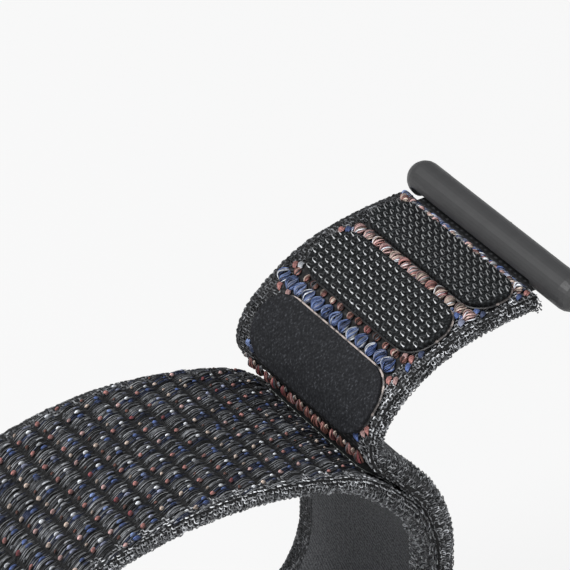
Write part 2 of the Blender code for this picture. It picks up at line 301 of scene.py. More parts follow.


# One mesh of tubes on the band, with a colour for each tube or point. Painted shade darkens the colour
# round the tube, from the whole on top to a given share underneath. The yarn attribute is (u, turn, number).
def tubePiece(name, carrier, lines, radius, sides, tint, material, slotName="band_weave", below=0.5):
    verts = tubes(lines, radius, sides)
    count, rows = lines.shape[:2]
    u = np.linspace(0.0, 1.0, rows)[None, :, None]
    turn = (np.arange(sides) / sides)[None, None, :]
    yarn = stacked(u, turn, np.arange(count)[:, None, None] * paintedShadeAndStep["step"])
    tint = tint if tint.ndim == 3 else tint[:, None, :]
    # Painted shade: each tube keeps its colour on top and grows darker towards its underside
    top = (0.5 + 0.5 * np.sin(np.arange(sides) * 2.0 * math.pi / sides)) ** paintedShadeAndStep["power"]
    share = below + (1.0 - below) * top
    colour = np.broadcast_to(tint[:, :, None, :] * stacked(share, share, share, 1.0), (count, rows, sides, 4))
    faces = manyFaces(gridFaces(rows, sides), count, rows * sides)
    obj = meshOf(name, onBand(verts), faces, material, {"yarn": yarn, "tint": colour})
    if carrier in zones:
        settle(obj, carrier)
    else:
        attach(obj, carrier)


# The section's edges are half ovals. The ribs stand up to ribEdge from the edge and ease off from there.
section = {"edge": 0.5, "ovalPoints": 11, "ribEdge": 0.9, "ribEase": 0.6}


# The band's cross-section as (y, n): outer face, far selvedge, inner face, near selvedge. The third value is
# the share of the ribs' height.
def sectionOf(stepAcross):
    half = band["width"] / 2.0
    t = band["thickness"]
    edge = section["edge"]
    count = int(round((band["width"] - 2.0 * edge) / stepAcross))
    flat = np.linspace(-half + edge, half - edge, count + 1)
    bow = np.linspace(0.0, math.pi, section["ovalPoints"])[1:-1]
    out = edge * np.sin(bow)
    y = np.concatenate([flat, half - edge + out, flat[::-1], -half + edge - out])
    far = -t / 2.0 + t / 2.0 * np.cos(bow)
    near = -t / 2.0 - t / 2.0 * np.cos(bow)
    n = np.concatenate([0.0 * flat, far, 0.0 * flat - t, near])
    rib = np.clip((half - section["ribEdge"] - np.abs(flat)) / section["ribEase"], 0.0, 1.0)
    return y, n, np.concatenate([rib, 0.0 * bow, 0.0 * flat, 0.0 * bow])


# The weave's grid, and where painted shade darkens it: under the pile, along the edges and round the pads
cloth = {
    "stepAlong": 0.26,
    "stepAcross": 0.5,
    "ribShare": 0.46,
    "outerDepth": 0.4,
    "pileArea": {"fadeIn": 2.0, "fadeOut": 0.5, "half": 10.2, "ease": 0.6},
    "edgeArea": {"dark": 0.75, "inner": 9.0, "ease": 0.6},
    "padArea": {"dark": 0.7, "start": 0.5, "half": 9.9},
}


# How much painted shade darkens the weave at a place, from 0 to 1: the darkest of the three areas
def paintedClothShade(s, y, n):
    pileArea, edgeArea, padArea = cloth["pileArea"], cloth["edgeArea"], cloth["padArea"]
    outer = n > -cloth["outerDepth"]
    across = np.abs(y)
    under = np.clip((s - ribRange[0]) / pileArea["fadeIn"], 0.0, 1.0)
    under = under * np.clip((ribRange[1] + pileArea["fadeOut"] - s) / pileArea["fadeOut"], 0.0, 1.0)
    under = under * outer * np.clip((pileArea["half"] - across) / pileArea["ease"], 0.0, 1.0)
    edge = edgeArea["dark"] * np.clip((across - edgeArea["inner"]) / edgeArea["ease"], 0.0, 1.0) + 0.0 * s
    between = padArea["dark"] * (s > foldAt + padArea["start"]) * outer * (across < padArea["half"])
    return np.maximum(np.maximum(under, edge), between)


# One stretch of weave: the section in rows along the band, its outer face raised by the ribs
def clothPiece(zoneName, material):
    zone = zones[zoneName]
    y, n, top = [part[None, :] for part in sectionOf(cloth["stepAcross"])]
    rows = int((zone["high"] - zone["low"]) / cloth["stepAlong"]) + 2
    s = np.linspace(zone["low"], zone["high"], rows)[:, None]
    flat = stacked(s, y, n + top * cloth["ribShare"] * ribHeight(s))
    looks = {"weave": flat, "shade": stacked(paintedClothShade(s, y, n), 0.0, 0.0)}
    faces = gridFaces(rows, y.shape[1])
    obj = meshOf(f"woven_band_{zoneName}", onBand(swollen(flat)), faces, material, looks)
    settle(obj, zoneName)


# Selvedge: courses of knit loops along each edge. A course is a line of (y, n) places; its yarn at turn t
# is along = pitch (t + skew sin 4 pi t), across the course = reach cos 2 pi t, off it = lift cos 4 pi t +
# scallop cos 2 pi t. Each noise is (amount, points from one knot of it to the next).
selvedge = {
    "perLoop": 8,
    "sides": 3,
    "face": {"loop": [9.7, 10.1], "tail": [9.2, 9.6, 10.0]},
    "back": [10.0, 9.6, 9.2, 8.8],
    "angles": [72.0, 48.0, 24.0, 0.0, -24.0, -48.0, -72.0, -96.0],
    "middle": 10.25,
    "depth": 0.84,
    "rise": 0.86,
    "off": 0.04,
    "faceScallop": 0.3,
    "gap": 0.02,
    "runOn": 0.4,
    "drop": {"depth": 0.5, "start": -0.1, "run": 0.4},
    "stagger": 0.5,
    "skew": 0.17,
    "turnNoise": (0.25, 25),
    "reachNoise": (0.2, 9),
    "radiusNoise": (0.2, 7),
    "wanderRuns": (6, 5, 5),
    "near": {
        "seed": 40, "pitch": 0.62, "reach": 0.24, "round": 0.8, "lift": 0.045, "scallop": 0.08,
        "wander": 0.04, "radius": 0.068, "shares": [0.08, 0.14, 0.44, 0.34],
    },
    "far": {
        "seed": 60, "pitch": 0.6, "reach": 0.2, "round": 0.78, "lift": 0.015, "scallop": 0.01,
        "wander": 0.02, "radius": 0.09, "shares": [0.4, 0.44, 0.16, 0.0],
    },
    # The lightest of the shades is partly pale yarn and partly painted glints
    "shades": [(0.022, 0.023, 0.025), (0.09, 0.093, 0.1), (0.25, 0.257, 0.27), (0.75, 0.77, 0.8)],
    "lightness": (0.75, 0.5),
}


# Smooth noise: random knots every so many points, joined by the curve 3 f f - 2 f f f
def smoothNoise(rng, count, run):
    knots = rng.standard_normal(int(count / run) + 4)
    at = np.arange(count) / run
    low = at.astype(int)
    f = at - low
    f = f * f * (3.0 - 2.0 * f)
    return knots[low] * (1.0 - f) + knots[low + 1] * f


# The courses from the outer face round the edge to the inner face: (y, n), the way across and the scallop
def selvedgePlaces(zoneName, edgeName):
    c = selvedge
    face = c["face"]["loop" if zoneName == "loop" else "tail"]
    places = [(y, c["off"], 1.0, 0.0, c["faceScallop"]) for y in face]
    for angle in c["angles"]:
        a = math.radians(angle)
        y = c["middle"] + c[edgeName]["round"] * math.cos(a)
        places.append((y, c["rise"] * math.sin(a) - c["depth"], math.sin(a), -math.cos(a), 1.0))
    return places + [(y, -band["thickness"] - c["off"], -1.0, 0.0, 0.0) for y in c["back"]]


# All courses along one edge of a stretch, each with its own wandering, thickness and tones
def selvedgePiece(zoneName, edgeName, material):
    zone = zones[zoneName]
    c = selvedge
    own = c[edgeName]
    sign = -1.0 if edgeName == "near" else 1.0
    rng = np.random.default_rng(list(zones).index(zoneName) + own["seed"])
    low = zone["low"] + c["gap"]
    high = zone["high"] + (c["runOn"] if zoneName == "end" else -c["gap"])
    rows = int((high - low) / own["pitch"] * c["perLoop"]) + 2
    turns = np.linspace(0.0, (high - low) / own["pitch"], rows)
    turnNoise, turnRun = c["turnNoise"]
    reachNoise, reachRun = c["reachNoise"]
    radiusNoise, radiusRun = c["radiusNoise"]
    darkest, spread = c["lightness"]
    lines = []
    radii = []
    tones = []
    for number, (y0, n0, wayY, wayN, scallop) in enumerate(selvedgePlaces(zoneName, edgeName)):
        t = turns + c["stagger"] * number + turnNoise * smoothNoise(rng, rows, turnRun)
        once = np.cos(2.0 * math.pi * t)
        reach = own["reach"] * (1.0 + reachNoise * smoothNoise(rng, rows, reachRun)) * once
        lift = own["lift"] * np.cos(4.0 * math.pi * t) + scallop * own["scallop"] * once
        wanderings = [own["wander"] * smoothNoise(rng, rows, run) for run in c["wanderRuns"]]
        lift = lift + wanderings[0]
        reach = reach + wanderings[1]
        along = low + own["pitch"] * (turns + c["skew"] * np.sin(4.0 * math.pi * t)) + wanderings[2]
        along = np.clip(along, low, high)
        y = sign * (y0 + wayY * reach - wayN * lift)
        n = n0 + wayN * reach + wayY * lift
        under = np.clip((along - bandLength - c["drop"]["start"]) / c["drop"]["run"], 0.0, 1.0)
        lines.append(stacked(along, y, n - c["drop"]["depth"] * under))  # it lies lower under the bar
        radii.append(own["radius"] * (1.0 + radiusNoise * smoothNoise(rng, rows, radiusRun).clip(-1.5, 1.5)))
        picked = np.repeat(rng.choice(len(c["shades"]), rows // 2 + 1, p=own["shares"]), 2)[:rows]
        tone = np.array(c["shades"])[picked] * (darkest + spread * rng.random((rows, 1)))
        tones.append(np.concatenate([tone, np.ones((rows, 1))], axis=1))
    lines = swollen(np.array(lines))
    name = f"selvedge_{edgeName}_{zoneName}"
    tubePiece(name, zoneName, lines, np.array(radii), c["sides"], np.array(tones), material, below=1.0)


# The colours of the yarn, as linear values
yarnColours = {
    "charcoal": (0.1, 0.105, 0.118),
    "grey": (0.2, 0.208, 0.226),
    "ash": (0.46, 0.475, 0.5),
    "black": (0.02, 0.021, 0.023),
    "navy": (0.05, 0.068, 0.14),
    "blue": (0.085, 0.135, 0.33),
    "sky": (0.21, 0.29, 0.54),
    "lilac": (0.31, 0.34, 0.48),
    "white": (0.78, 0.81, 0.86),
    "cream": (0.66, 0.53, 0.45),
    "salmon": (0.47, 0.21, 0.19),
    "pink": (0.66, 0.42, 0.40),
    "red": (0.29, 0.07, 0.08),
    "rust": (0.21, 0.09, 0.07),
}


# Colours for a list of yarn names, each lighter or darker by chance by up to the spread
def tints(names, rng, spread):
    base = np.array([yarnColours[n] for n in names])
    base = base * (1.0 + spread * (rng.random((len(names), 1)) * 2.0 - 1.0))
    return np.concatenate([base, np.ones((len(names), 1))], axis=1)


# Names of yarn drawn by their weights
def pick(rng, choices, count):
    names = list(choices)
    weights = np.array([choices[n] for n in names], float)
    return rng.choice(names, count, p=weights / weights.sum())


# How a bundle's strands differ by chance, gather at their ends, and lie flatter near the band's edges
strand = {
    "lengthNoise": 0.1,
    "alongNoise": 0.06,
    "acrossNoise": 0.05,
    "heightNoise": 0.2,
    "gathered": 0.7,
    "opened": 0.3,
    "crown": 0.3,
    "archPower": 0.8,
    "edge": 10.9,
    "edgeFade": 1.1,
}


# Bundles of strands: each arches along u as sin(pi u) to a power, leans across, and lies among its fellows
def bundle(rng, at, length, lean, bow, height, spread, strands, rings, ribs=True):
    c = strand
    at = np.asarray(at, float)
    u = np.linspace(0.0, 1.0, rings)[None, None, :]
    j = (np.arange(strands) - (strands - 1) / 2.0)[None, :, None]
    wobble = rng.random((5, len(at), strands, 1)) * 2.0 - 1.0
    arch = np.sin(math.pi * u)
    s = at[:, 0, None, None] + (u - 0.5) * length * (1.0 + c["lengthNoise"] * wobble[0])
    s = s + c["alongNoise"] * wobble[1]
    y = at[:, 1, None, None] + j * spread * (c["gathered"] + c["opened"] * arch)
    y = y + lean * (u - 0.5) + bow * arch + c["acrossNoise"] * wobble[2]
    crown = 1.0 - c["crown"] * (j / max(strands / 2.0, 1.0)) ** 2
    fade = np.clip((c["edge"] - np.abs(y)) / c["edgeFade"], 0.0, 1.0)
    arched = arch ** c["archPower"] * height * crown * (1.0 + c["heightNoise"] * wobble[3]) * fade
    n = at[:, 2, None, None] + arched
    if ribs:
        n = n + pile["ribShare"] * ribHeight(s) * fade
    return stacked(s, y, n).reshape(len(at) * strands, rings, 3)


# Thickness along a strand: thin at the ends, by the square root of sin(pi u) down to a least share
def tapered(rings, least):
    u = np.linspace(0.0, 1.0, rings)
    return np.maximum(np.sqrt(np.sin(math.pi * u)), least)[None, :]


# The loop pile: rows of dark strands on the ribs, with a blue tip each period, up to the last distance
pile = {
    "seed": 11,
    "period": 2.36,
    "rowShift": 0.36,
    "length": 2.5,
    "lean": 0.5,
    "bow": 0.04,
    "height": 0.1,
    "ribShare": 0.42,
    "spacing": 0.128,
    "radius": 0.047,
    "radiusNoise": 0.2,
    "least": 0.5,
    "rings": 8,
    "sides": 4,
    "below": 0.5,
    "scatter": (0.07, 0.03, 0.02),
    "half": 10.3,
    "overhang": 0.3,
    "middleY": 0.15,
    "start": 1.0,
    "last": 99.0,
    "seam": 62.0,
    "tones": {"black": 0.22, "charcoal": 0.18, "grey": 0.25, "ash": 0.35},
    "toneSpread": 0.35,
    "navy": {"shift": 0.56, "half": 0.2, "chance": 0.4},
    "paintedValleyShade": 0.12,
    "paintedValleyPower": 0.9,
}
tips = {
    "scatter": 0.05,
    "scatterShares": (1.0, 1.0, 0.4),
    "overhang": 0.1,
    "rowOverhang": 0.4,
    "lean": 0.1,
    "height": 0.12,
    "strands": 3,
    "rings": 7,
    "sides": 8,
    "least": 0.12,
    "below": 0.04,
    # Painted light and shade: a dot's strands, from the near side to the far side, take these shares of their
    # colour
    "tones": [0.28, 0.75, 1.25],
    "toneSpread": 0.3,
    "size": {"s": [50.0, 72.0, 86.0, 98.0], "share": [1.1, 1.0, 0.82, 0.7]},
    "sizeRange": (0.75, 0.4),
    "warmShares": [0.5, 0.28, 0.22],
    "warmRows": [
        ("salmon", "red", "pink"),
        ("cream", "pink", "salmon"),
        ("cream", "salmon", "pink"),
        ("salmon", "pink", "red"),
    ],
}


# Places of the blue tips as (s, y, number of the row): one in each period, the rows shifted one after another
def pileRows():
    p = pile
    first = int(math.ceil((ribRange[0] + p["start"]) / band["ribPitch"] - 0.5))
    last = int(p["last"] / band["ribPitch"] - 0.5)
    reach = int(p["half"] / p["period"]) + 1
    k, j = np.meshgrid(np.arange(first, last + 1), np.arange(-reach, reach + 1), indexing="ij")
    s = (k + 0.5) * band["ribPitch"]
    y = (j + (k * p["rowShift"]) % 1.0) * p["period"] + p["middleY"]
    keep = np.abs(y) < p["half"] + tips["rowOverhang"]
    return s[keep], y[keep], k[keep]


# The dark strands of the pile lie side by side across each row, and those beside a blue tip are often navy.
# Their colour falls off towards their ends by sin(pi u) to a power, a painted shade in the valleys between
# rows.
def darkPile(rng, rowAt, material):
    p = pile
    edge = p["half"] + p["overhang"]
    across = np.arange(-edge, edge, p["spacing"])
    at = stacked(rowAt[:, None], across[None, :], 0.0).reshape(-1, 3)
    at = at + rng.standard_normal(at.shape) * np.array(p["scatter"])
    lines = bundle(rng, at, p["length"], p["lean"], p["bow"], p["height"], 0.0, 1, p["rings"])
    names = pick(rng, p["tones"], len(at))
    number = np.round(at[:, 0] / band["ribPitch"] - 0.5)
    phase = ((at[:, 1] - p["middleY"]) / p["period"] - number * p["rowShift"] + p["navy"]["shift"]) % 1.0
    besideTip = np.abs(phase - 0.5) < p["navy"]["half"]
    names = np.where(besideTip & (rng.random(len(at)) < p["navy"]["chance"]), "navy", names)
    colours = tints(names, rng, p["toneSpread"])
    thick = 1.0 + p["radiusNoise"] * rng.standard_normal((len(lines), 1)).clip(-1.5, 1.5)
    radius = p["radius"] * tapered(p["rings"], p["least"]) * thick
    # Painted shade in the valleys: each strand grows darker towards its ends
    u = np.linspace(0.0, 1.0, p["rings"])
    ends = p["paintedValleyShade"] + (1.0 - p["paintedValleyShade"]) * np.sin(math.pi * u) ** p["paintedValleyPower"]
    colours = colours[:, None, :] * stacked(ends, ends, ends, 1.0)[None]
    middle = lines[:, p["rings"] // 2 - 1, 0]
    for label, keep in (("left", middle < p["seam"]), ("right", middle >= p["seam"])):
        shape = (lines[keep], radius[keep], p["sides"])
        tubePiece(f"dark_pile_{label}", "loop", *shape, colours[keep], material, below=p["below"])


# Dots of yarn, each a small ball of strands: (along, across, off) from its row's place, (length, spread,
# thickness) and colours by weight
tipSets = [
    {
        "at": (0.3, 0.12, 0.18),
        "size": (0.6, 0.11, 0.115),
        "colours": {"white": 0.46, "blue": 0.22, "sky": 0.16, "lilac": 0.16},
    },
    {
        "at": (0.3, -0.38, 0.12),
        "size": (0.8, 0.12, 0.08),
        "colours": {"navy": 0.34, "blue": 0.34, "lilac": 0.12, "grey": 0.2},
    },
    {"at": (-0.92, -0.3, 0.16), "size": (0.5, 0.13, 0.13), "colours": "warm"},
    {
        "at": (-0.85, 0.8, 0.16),
        "size": (0.36, 0.09, 0.08),
        "colours": {"cream": 0.25, "rust": 0.35, "grey": 0.4},
    },
    {
        "at": (0.6, 0.95, 0.15),
        "size": (0.9, 0.07, 0.045),
        "colours": {"white": 0.3, "lilac": 0.4, "ash": 0.3},
    },
]


# One set of dots: the strands of each are drawn in towards its middle by the size's share there
def colouredTips(rng, number, rows, material):
    c = tips
    dots = tipSets[number]
    s, y, row = rows
    length, spread, thick = dots["size"]
    at = stacked(s + dots["at"][0], y + dots["at"][1], dots["at"][2])
    at = at + c["scatter"] * rng.standard_normal(at.shape) * np.array(c["scatterShares"])
    inside = np.abs(at[:, 1]) < pile["half"] + c["overhang"]
    at = at[inside]
    if dots["colours"] == "warm":
        sets = c["warmRows"]
        drawn = rng.choice(len(c["warmShares"]), len(at), p=c["warmShares"])
        names = [sets[k % len(sets)][d] for k, d in zip(row[inside], drawn)]
    else:
        names = pick(rng, dots["colours"], len(at))
    share = np.interp(at[:, 0], c["size"]["s"], c["size"]["share"])
    made = bundle(rng, at, length, c["lean"], 0.0, c["height"], spread, c["strands"], c["rings"])
    middle = made.mean(axis=1, keepdims=True)
    made = middle + (made - middle) * np.repeat(share, c["strands"])[:, None, None]
    least, more = c["sizeRange"]
    size = np.repeat(share * (least + more * rng.random(len(at))), c["strands"])[:, None]
    size = thick * tapered(c["rings"], c["least"]) * size
    colour = np.repeat(tints(names, rng, c["toneSpread"]), c["strands"], axis=0)
    # Painted light and shade: the far strand of each dot is lightened and the near strand darkened
    colour[:, :3] = colour[:, :3] * np.tile(c["tones"], len(at))[:, None]
    name = f"coloured_tips_{number + 1}"
    tubePiece(name, "loop", made, size, c["sides"], colour, material, below=c["below"])


def pilePieces(material):
    rng = np.random.default_rng(pile["seed"])
    rows = pileRows()
    darkPile(rng, np.unique(rows[0]), material)
    for number in range(len(tipSets)):
        colouredTips(rng, number, rows, material)


# Rows of coloured yarn between the pads. Each bundle's strands lie round an oval: (across, off) at angle a
yarnRows = {
    "blue_row": {
        "zone": "low", "s": padHigh[2] + 0.94, "y": 1.1, "count": 13, "pitch": 1.49,
        "length": 1.55, "wide": 0.74, "thick": 0.46, "lift": 0.18, "twist": 1.5, "strands": 26, "point": 0.3,
        "yarns": ["blue", "sky", "blue", "sky", "sky", "blue", "sky"],
        "streak": {"blue": 0.24, "navy": 0.1, "sky": 0.28, "lilac": 0.12, "white": 0.26},
    },
    "salmon_row": {
        "zone": "low", "s": padLow[1] - 0.38, "y": 0.1, "count": 13, "pitch": 1.5,
        "length": 0.9, "wide": 0.42, "thick": 0.26, "lift": 0.12, "twist": 0.8, "strands": 12, "point": 0.1,
        "yarns": ["salmon", "rust", "cream", "rust", "red", "rust"],
        "streak": {"salmon": 0.35, "rust": 0.35, "cream": 0.15, "charcoal": 0.15},
    },
    "pink_row": {
        "zone": "high", "s": padLow[0] - 0.84, "y": -0.6, "count": 13, "pitch": 1.5,
        "length": 1.4, "wide": 0.74, "thick": 0.46, "lift": 0.22, "twist": 1.3, "strands": 24, "point": 0.85,
        "yarns": ["pink", "pink", "cream", "pink", "salmon", "pink"],
        "streak": {"pink": 0.36, "cream": 0.28, "salmon": 0.1, "red": 0.06, "white": 0.2},
    },
    "pale_blue_row": {
        "zone": "high", "s": padHigh[1] + 0.14, "y": -0.2, "count": 13, "pitch": 1.5,
        "length": 0.55, "wide": 0.28, "thick": 0.2, "lift": 0.14, "twist": 0.6, "strands": 8, "point": 0.5,
        "yarns": ["blue", "lilac", "navy", "white", "sky"],
        "streak": {"blue": 0.3, "white": 0.2, "lilac": 0.3, "navy": 0.2},
    },
    "rose_row": {
        "zone": "end", "s": padHigh[0] - 0.68, "y": 0.1, "count": 15, "pitch": 1.34,
        "length": 0.8, "wide": 0.62, "thick": 0.44, "lift": 0.38, "twist": 1.2, "strands": 14, "point": 0.5,
        "yarns": ["pink", "cream", "white", "pink", "salmon"],
        "streak": {"pink": 0.35, "cream": 0.25, "salmon": 0.2, "white": 0.2},
    },
    "lilac_row": {
        "zone": "end", "s": bandLength - 0.66, "y": 0.3, "count": 18, "pitch": 1.12, "slope": 1.0,
        "length": 1.3, "wide": 0.68, "thick": 0.4, "lift": 0.15, "twist": 1.2, "strands": 18, "point": 0.5,
        "yarns": ["lilac", "sky", "lilac", "blue"],
        "streak": {"blue": 0.22, "lilac": 0.3, "white": 0.08, "navy": 0.2, "grey": 0.2},
    },
    "rust_row": {
        "zone": "fold", "s": foldAt - 1.62, "y": 0.1, "count": 14, "pitch": 1.42,
        "length": 1.35, "wide": 0.48, "thick": 0.38, "lift": 0.36, "twist": 0.7, "strands": 13, "point": 0.3,
        "yarns": ["rust", "salmon", "rust", "red", "rust", "salmon"],
        "streak": {"rust": 0.34, "salmon": 0.26, "red": 0.1, "pink": 0.08, "charcoal": 0.22},
    },
    "cream_row": {
        "zone": "fold", "s": foldAt - 0.95, "y": 0.72, "count": 14, "pitch": 1.42,
        "length": 0.5, "wide": 0.14, "thick": 0.16, "lift": 0.42, "twist": 0.4, "strands": 5, "point": 0.5,
        "yarns": ["cream", "white", "cream", "grey"],
        "streak": {"cream": 0.6, "white": 0.2, "grey": 0.2},
    },
}
# How the bundles of a row are made, and how they differ by chance
rowLay = {
    "seed": 5,
    "rings": 10,
    "sides": 6,
    "around": 2.4,
    "placeNoise": 0.07,
    "startNoise": 0.06,
    "lengthNoise": 0.06,
    "angleNoise": 0.3,
    "twistNoise": 0.5,
    "strandNoise": 0.24,
    "bundleNoise": 0.14,
    "radiusNoise": 0.25,
    "pull": 0.22,
    "ends": (0.05, 0.9),
    "swellPower": 0.8,
    "across": 0.8,
    "off": 0.75,
    "arch": 0.5,
    "lean": 0.2 / 1.6,
    "thick": 2.6,
    "least": 0.3,
    "below": 0.45,
    "toneSpread": 0.25,
    "streakSpread": 0.3,
    "streaked": 0.7,
    "shaded": {"chance": 0.22, "tone": 0.35},
}


# A bundle's strands run along u at angles a round its middle, twisting on the way. They stand off it by
# sin(pi v) to a power, where v is u with its middle pulled along, and the bundle arches as sin(pi u).
def yarnRowPieces(material):
    c = rowLay
    rng = np.random.default_rng(c["seed"])
    u = np.linspace(0.0, 1.0, c["rings"])[None, None, :]
    for name, row in yarnRows.items():
        count, strands = row["count"], row["strands"]
        jitter = rng.standard_normal((3, count, 1, 1)).clip(-1.6, 1.6)
        place = (np.arange(count)[:, None, None] - (count - 1) / 2.0) * row["pitch"]
        main = tints([row["yarns"][i % len(row["yarns"])] for i in range(count)], rng, c["toneSpread"])
        wobble = rng.random((4, count, strands, 1)) * 2.0 - 1.0
        a = (np.arange(strands) * c["around"])[None, :, None]
        a = a + row["twist"] * (u - 0.5) * (1.0 + c["twistNoise"] * wobble[3]) + c["angleNoise"] * wobble[0]
        half = 0.5 + c["pull"] * (row["point"] - 0.5)
        v = np.where(u < half, 0.5 * u / half, 0.5 + 0.5 * (u - half) / (1.0 - half))
        swell = np.sin(math.pi * (c["ends"][0] + c["ends"][1] * v)) ** c["swellPower"]
        swell = swell * (1.0 + c["strandNoise"] * wobble[1]) * (1.0 + c["bundleNoise"] * jitter[1])
        s = row["s"] + (u - 0.5) * row["length"] * (1.0 + c["lengthNoise"] * wobble[2])
        s = s + c["startNoise"] * jitter[2]
        y = row["y"] + place + c["placeNoise"] * jitter[0] + swell * np.cos(a) * row["wide"] * c["across"]
        y = y + c["lean"] * (u - 0.5) * row["length"]
        n = row["lift"] + np.sin(math.pi * u) * row["thick"] * c["arch"]
        n = n + swell * np.sin(a) * row["thick"] * c["off"] - row.get("slope", 0.0) * (u - 0.5)
        lines = stacked(s, y, n).reshape(count * strands, c["rings"], 3)
        colour = np.repeat(main, strands, axis=0)
        streaked = rng.random(len(colour)) < c["streaked"]
        drawn = pick(rng, row["streak"], int(streaked.sum()))
        colour[streaked] = tints(drawn, rng, c["streakSpread"])
        shaded = rng.random(len(colour)) < c["shaded"]["chance"]
        colour[shaded, :3] = colour[shaded, :3] * c["shaded"]["tone"]
        radius = c["thick"] / strands * row["wide"] * tapered(c["rings"], c["least"])
        radius = radius * (1.0 + c["radiusNoise"] * wobble[3].reshape(-1, 1))
        tubePiece(name, row["zone"], lines, radius, c["sides"], colour, material, below=c["below"])


# Odd knots of yarn at the pads' corners: (zone, s, y, yarn, size)
yarnKnots = [
    ("low", padHigh[2] - 0.1, 9.5, "salmon", 0.5),
    ("low", padHigh[2] - 0.15, 8.0, "pink", 0.4),
    ("low", padHigh[2] - 0.2, -9.2, "salmon", 0.5),
    ("low", padHigh[2] + 0.1, -9.9, "pink", 0.4),
    ("low", padLow[1] - 0.1, 9.9, "salmon", 0.6),
    ("low", padLow[1] + 0.2, 9.3, "white", 0.4),
    ("low", padLow[1] - 0.1, -8.7, "pink", 0.6),
    ("low", padLow[1] + 0.1, -9.5, "salmon", 0.5),
    ("low", padLow[1] - 0.7, -9.9, "blue", 0.5),
    ("low", padLow[1] + 1.1, -9.9, "navy", 0.5),
    ("high", padHigh[1] - 0.6, 9.7, "salmon", 0.5),
    ("high", padHigh[1] - 0.1, 9.2, "blue", 0.5),
    ("high", padHigh[1] - 0.1, 8.1, "sky", 0.4),
    ("high", padHigh[1] + 0.1, -8.6, "blue", 0.5),
    ("high", padHigh[1] - 0.2, -9.8, "lilac", 0.6),
    ("high", padLow[0] + 0.2, -9.5, "blue", 0.6),
    ("high", padLow[0] + 0.4, -10.2, "navy", 0.5),
    ("end", padHigh[0] - 0.5, -9.4, "pink", 0.5),
    ("end", padHigh[0] - 1.2, -10.2, "blue", 0.5),
    ("end", padHigh[0] - 0.2, -10.1, "salmon", 0.4),
    ("fold", padLow[2] + 0.1, 9.7, "sky", 0.5),
    ("fold", padLow[2] - 0.2, 9.0, "navy", 0.5),
    ("fold", padLow[2] + 0.3, -8.9, "blue", 0.7),
    ("fold", padLow[2] + 1.1, -9.8, "pink", 0.4),
    ("fold", padLow[2] + 1.6, -10.1, "salmon", 0.4),
]
knotLay = {
    "seed": 8,
    "off": 0.12,
    "length": 0.75,
    "lean": 0.3,
    "bow": 0.05,
    "height": 0.22,
    "spread": 0.13,
    "strands": 4,
    "rings": 7,
    "sides": 6,
    "thick": 0.24,
    "least": 0.3,
    "toneSpread": 0.3,
}


# A knot is a short bundle of strands off the ribs
def yarnKnotPieces(material):
    c = knotLay
    rng = np.random.default_rng(c["seed"])
    for zoneName in sorted({knot[0] for knot in yarnKnots}):
        mine = [knot for knot in yarnKnots if knot[0] == zoneName]
        at = np.array([(s, y, c["off"]) for _, s, y, _, _ in mine])
        size = np.repeat([size for *_, size in mine], c["strands"])[:, None]
        lay = (c["length"], c["lean"], c["bow"], c["height"], c["spread"], c["strands"], c["rings"])
        lines = bundle(rng, at, *lay, ribs=False)
        colour = np.repeat(tints([name for *_, name, _ in mine], rng, c["toneSpread"]), c["strands"], axis=0)
        radius = size * c["thick"] * tapered(c["rings"], c["least"])
        tubePiece(f"yarn_knots_{zoneName}", zoneName, lines, radius, c["sides"], colour, material)


# Hook pads: a rounded oblong of tape on a thin rim of film. The outline shrinks ring by ring to the middle.
# Pad 1 is sewn a little nearer the fold than its solid's middle, and is a little shorter.
pad = {
    "width": 19.4,
    "shifts": (-0.46, 0.0, 0.0, 0.0),
    "trims": (0.52, 0.0, 0.0, 0.0),
    "cornerShare": 0.46,
    "cornerPoints": 12,
    "leastCorner": 0.02,
    "shiftY": -0.3,
    "bottom": 0.44,
    "thickness": 0.5,
    "edge": 0.1,
    "sag": 0.05,
    "innerRings": 9,
    "rim": 0.16,
    "lip": {"rise": 0.4, "start": 0.5, "ring": 5, "slope": 3.0, "less": 1.8},
}
padSeen = [middle + shift for middle, shift in zip(padMiddle, pad["shifts"])]
padLong = [length - trim for (_, length), trim in zip(padSpans, pad["trims"])]


# A rounded oblong as (s, y): a quarter circle at each corner, joined by straight sides
def oblong(halfAlong, halfAcross, corner):
    a = np.linspace(0.0, math.pi / 2.0, pad["cornerPoints"])
    s = []
    y = []
    for quarter, (signS, signY) in enumerate(((1, 1), (-1, 1), (-1, -1), (1, -1))):
        turn = a + quarter * math.pi / 2.0
        s.append(signS * (halfAlong - corner) + corner * np.cos(turn))
        y.append(signY * (halfAcross - corner) + corner * np.sin(turn))
    return np.concatenate(s), np.concatenate(y)


# The pad at the fold stands up evenly towards its higher edge: n added at a share of its half length
def padRise(number, share):
    start = pad["lip"]["start"]
    return pad["lip"]["rise"] * np.clip((share - start) / (1.0 - start), 0.0, 1.0) * (number == 4)


# A closed surface of oblongs, one for each (inset, n) of the outline
def padSurface(name, number, outline, material, slotName):
    middle = padSeen[number - 1]
    half = padLong[number - 1] / 2.0
    corner = pad["cornerShare"] * 2.0 * half
    rings = []
    for inset, n in outline:
        s, y = oblong(half - inset, pad["width"] / 2.0 - inset, max(corner - inset, pad["leastCorner"]))
        rise = padRise(number, s / half) * (n > pad["bottom"])
        rings.append(stacked(middle + s, pad["shiftY"] + y, n + rise))
    flat = np.array(rings)
    local = flat - np.array([middle, 0.0, 0.0])
    onLip = (np.arange(len(outline)) == pad["lip"]["ring"])[:, None]
    lip = onLip * np.clip(pad["lip"]["slope"] * local[..., 0] / half - pad["lip"]["less"], 0.0, 1.0)
    looks = {"weave": local, "lip": stacked(lip * (slotName == "hook_pad"), 0.0, 0.0)}
    obj = meshOf(name, onBand(flat), gridFaces(*flat.shape[:2]), material, looks)
    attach(obj, padBodies[number - 1])
    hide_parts(name.replace("fine_", ""))


